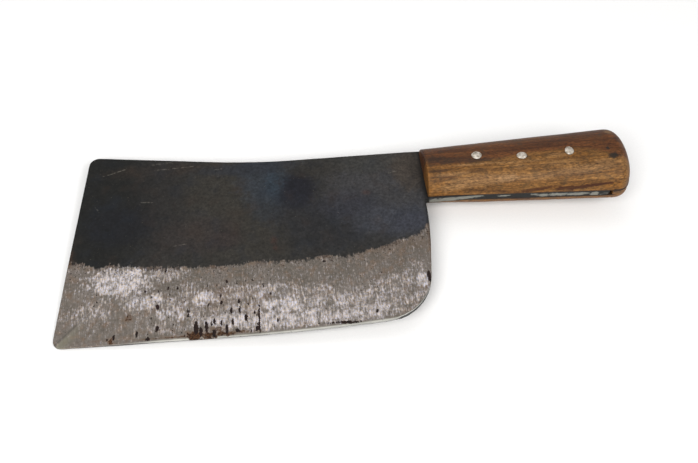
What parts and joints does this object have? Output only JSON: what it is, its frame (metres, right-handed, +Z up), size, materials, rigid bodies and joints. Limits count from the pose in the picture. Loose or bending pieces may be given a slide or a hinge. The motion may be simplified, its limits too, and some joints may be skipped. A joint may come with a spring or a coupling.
{
  "type": "chinese cleaver",
  "caption": "Wide forged cleaver lying on its side, its full tang held between two riveted wooden scales; for chopping and slicing.",
  "frame": {"origin": "on the table under the middle of the outer box of the knife, which lies on its far side", "axes": "+X along the handle to its butt, +Y to the spine, +Z up, out of the near side"},
  "size_m": [0.3152, 0.1206, 0.0347],
  "materials": {
    "forged_steel": "forged carbon steel, black scale above and ground band along the edge",
    "handle_wood": "oiled and worn hardwood, dark towards the spine",
    "rivet_metal": "hammered soft metal"
  },
  "bodies": {
    "root": {"blade": "forged_steel", "near_scale": "handle_wood", "far_scale": "handle_wood", "front_rivet": "rivet_metal", "middle_rivet": "rivet_metal", "rear_rivet": "rivet_metal"}
  },
  "joints": []
}
